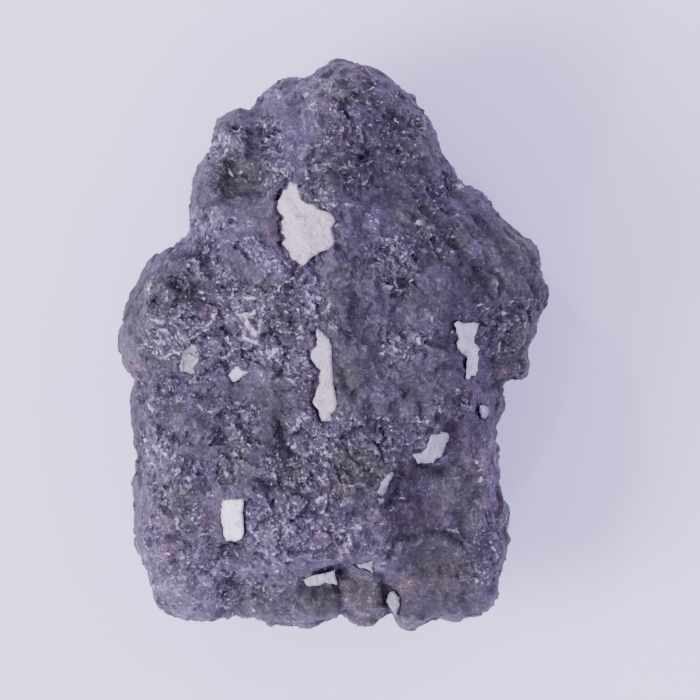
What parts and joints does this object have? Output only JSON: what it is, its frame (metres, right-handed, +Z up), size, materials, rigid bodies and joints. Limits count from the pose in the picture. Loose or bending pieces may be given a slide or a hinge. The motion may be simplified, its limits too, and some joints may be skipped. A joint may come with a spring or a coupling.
{
  "type": "rough diamond",
  "caption": "Rough dark polycrystalline diamond: a lumpy, broken stone with pale mineral grains in its pores, lying on a flat break on its back.",
  "frame": {"origin": "under the middle of the stone's bounding box, on the surface it rests on", "axes": "+Y along the stone towards its narrow end, +X across it, +Z up, out of the side that carries the pale grains"},
  "size_m": [0.0151, 0.0201, 0.0096],
  "materials": {
    "dark_diamond": "crystalline, glittering in patches and dull between",
    "pale_mineral": "matt, finely cracked",
    "clear_mineral": "cloudy, waxy"
  },
  "bodies": {
    "root": {"diamond_body": "dark_diamond", "pale_grain_upper": "pale_mineral", "pale_grain_centre": "pale_mineral", "pale_grain_right": "pale_mineral", "pale_grain_lower_left": "pale_mineral", "pale_grain_lower_right": "pale_mineral", "pale_grain_small": "pale_mineral", "pale_wedge_foot": "pale_mineral", "pale_tooth_foot": "pale_mineral", "pale_wedge_tip": "pale_mineral", "clear_grain_lens": "clear_mineral", "clear_grain_left": "clear_mineral", "clear_grain_right": "clear_mineral"}
  },
  "joints": []
}
